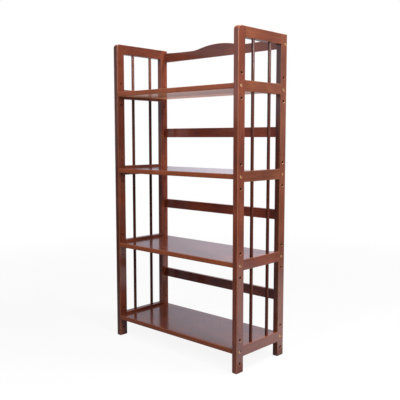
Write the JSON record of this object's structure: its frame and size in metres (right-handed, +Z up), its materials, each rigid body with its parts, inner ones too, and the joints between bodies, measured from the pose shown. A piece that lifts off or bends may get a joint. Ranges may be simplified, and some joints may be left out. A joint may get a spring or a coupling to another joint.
{
  "type": "bookcase",
  "caption": "Open stained-wood bookcase: slatted side frames with bolt holes in the posts, flat shelf boards bolted between them, straight back rails and a shaped crest rail.",
  "frame": {"origin": "on the floor, under the middle of the case", "axes": "+Z up, +X to the right seen from the front, +Y towards the back"},
  "size_m": [0.65, 0.28, 1.2],
  "materials": {
    "stained_wood": "reddish-brown stain under gloss lacquer",
    "brass": "brass-plated, semi-gloss",
    "nut_steel": "zinc-plated",
    "dowel_wood": "bare beech, fluted"
  },
  "bodies": {
    "root": {"front_left_post": "stained_wood", "rear_left_post": "stained_wood", "front_right_post": "stained_wood", "rear_right_post": "stained_wood", "side_rail_left_1": "stained_wood", "side_rail_left_2": "stained_wood", "side_rail_left_3": "stained_wood", "side_rail_left_4": "stained_wood", "side_rail_right_1": "stained_wood", "side_rail_right_2": "stained_wood", "side_rail_right_3": "stained_wood", "side_rail_right_4": "stained_wood", "top_rail_left": "stained_wood", "top_rail_right": "stained_wood", "slat_left_front_1": "stained_wood", "slat_left_front_2": "stained_wood", "slat_left_front_3": "stained_wood", "slat_left_front_4": "stained_wood", "slat_left_rear_1": "stained_wood", "slat_left_rear_2": "stained_wood", "slat_left_rear_3": "stained_wood", "slat_left_rear_4": "stained_wood", "slat_right_front_1": "stained_wood", "slat_right_front_2": "stained_wood", "slat_right_front_3": "stained_wood", "slat_right_front_4": "stained_wood", "slat_right_rear_1": "stained_wood", "slat_right_rear_2": "stained_wood", "slat_right_rear_3": "stained_wood", "slat_right_rear_4": "stained_wood", "shelf_1": "stained_wood", "shelf_2": "stained_wood", "shelf_3": "stained_wood", "shelf_4": "stained_wood", "back_rail_1": "stained_wood", "back_rail_2": "stained_wood", "back_rail_3": "stained_wood", "crest_rail": "stained_wood", "shelf_bolts_1": "brass", "shelf_bolts_2": "brass", "shelf_bolts_3": "brass", "shelf_bolts_4": "brass", "crest_bolts": "brass", "barrel_nuts_1": "nut_steel", "barrel_nuts_2": "nut_steel", "barrel_nuts_3": "nut_steel", "barrel_nuts_4": "nut_steel", "crest_nuts": "nut_steel", "frame_dowels_left": "dowel_wood", "frame_dowels_right": "dowel_wood", "back_rail_dowels_1": "dowel_wood", "back_rail_dowels_2": "dowel_wood", "back_rail_dowels_3": "dowel_wood"}
  },
  "joints": []
}
